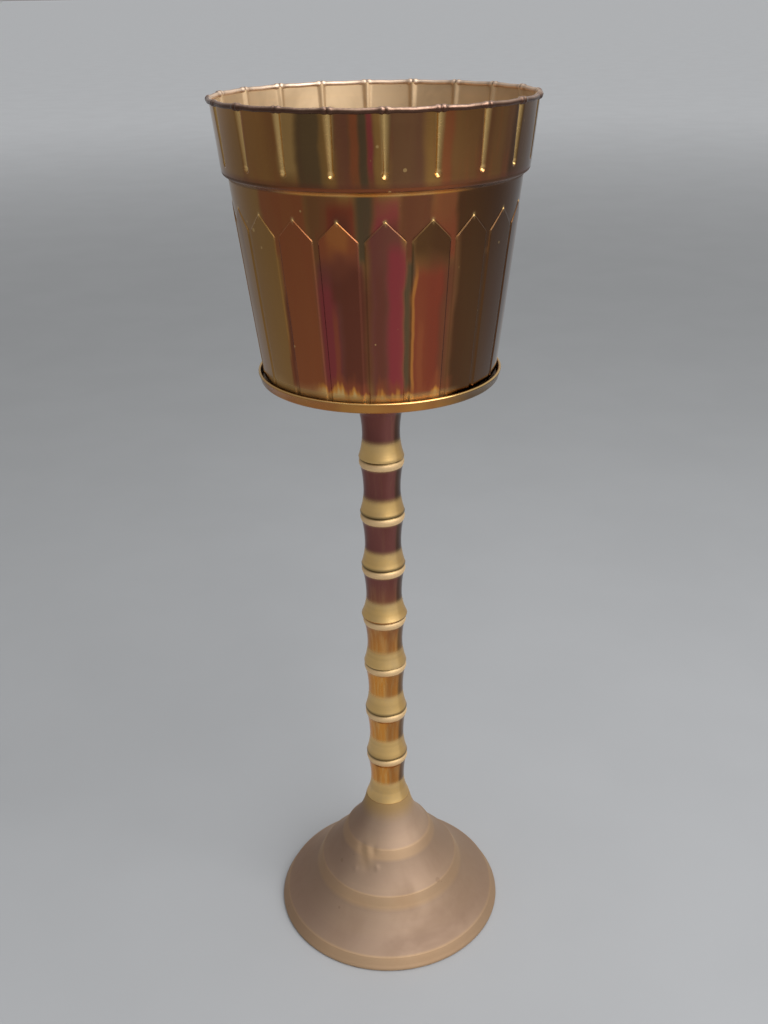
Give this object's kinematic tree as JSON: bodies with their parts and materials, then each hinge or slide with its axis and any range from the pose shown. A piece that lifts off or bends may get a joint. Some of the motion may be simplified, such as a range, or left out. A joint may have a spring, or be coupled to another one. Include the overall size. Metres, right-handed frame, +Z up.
{
  "type": "champagne bucket stand",
  "caption": "Brass champagne bucket with a fluted collar and picket-panelled wall, standing loose in a tray on a bamboo-pattern floor stand with a weighted stepped base.",
  "frame": {"origin": "centre of the base on the floor", "axes": "+Z up along the stem, which is the turning axis of every main piece; -Y towards the front flute"},
  "size_m": [0.238, 0.238, 0.7424],
  "materials": {
    "felt": "dark green felt",
    "zinc_plate": "zinc-plated sheet",
    "iron_weight": "rough casting",
    "zinc_steel": "bright zinc plating",
    "base_bronze": "satin bronze-brown lacquer over spun brass",
    "stem_brass": "lacquered brass, toned red-brown",
    "turned_brass": "turned brass",
    "tray_brass": "lacquered brass",
    "bucket_brass": "mirror-polished lacquered brass outside, satin gold inside",
    "iron_wire": "drawn wire"
  },
  "bodies": {
    "stand": {"base_felt": "felt", "base_plate": "zinc_plate", "base_weight": "iron_weight", "plate_screws": "zinc_steel", "base_shell": "base_bronze", "base_washer": "zinc_steel", "base_spring_washer": "zinc_steel", "base_nut": "zinc_steel", "tie_rod_lower": "zinc_steel", "rod_coupling_nut": "zinc_steel", "coupling_washer": "zinc_steel", "stem_tube_lower": "stem_brass", "stem_coupling": "turned_brass", "stem_tube_upper": "stem_brass", "tie_rod_upper": "zinc_steel", "tray_support": "tray_brass", "tray": "tray_brass", "tray_washer": "zinc_steel", "tray_spring_washer": "zinc_steel", "tray_nut": "zinc_steel"},
    "bucket": {"bucket_shell": "bucket_brass", "rim_wire": "iron_wire"}
  },
  "joints": [
    {"name": "bucket_lift", "type": "slide", "parent": "stand", "child": "bucket", "axis": [0, 0, 1], "range_m": [0, 0.15]}
  ]
}
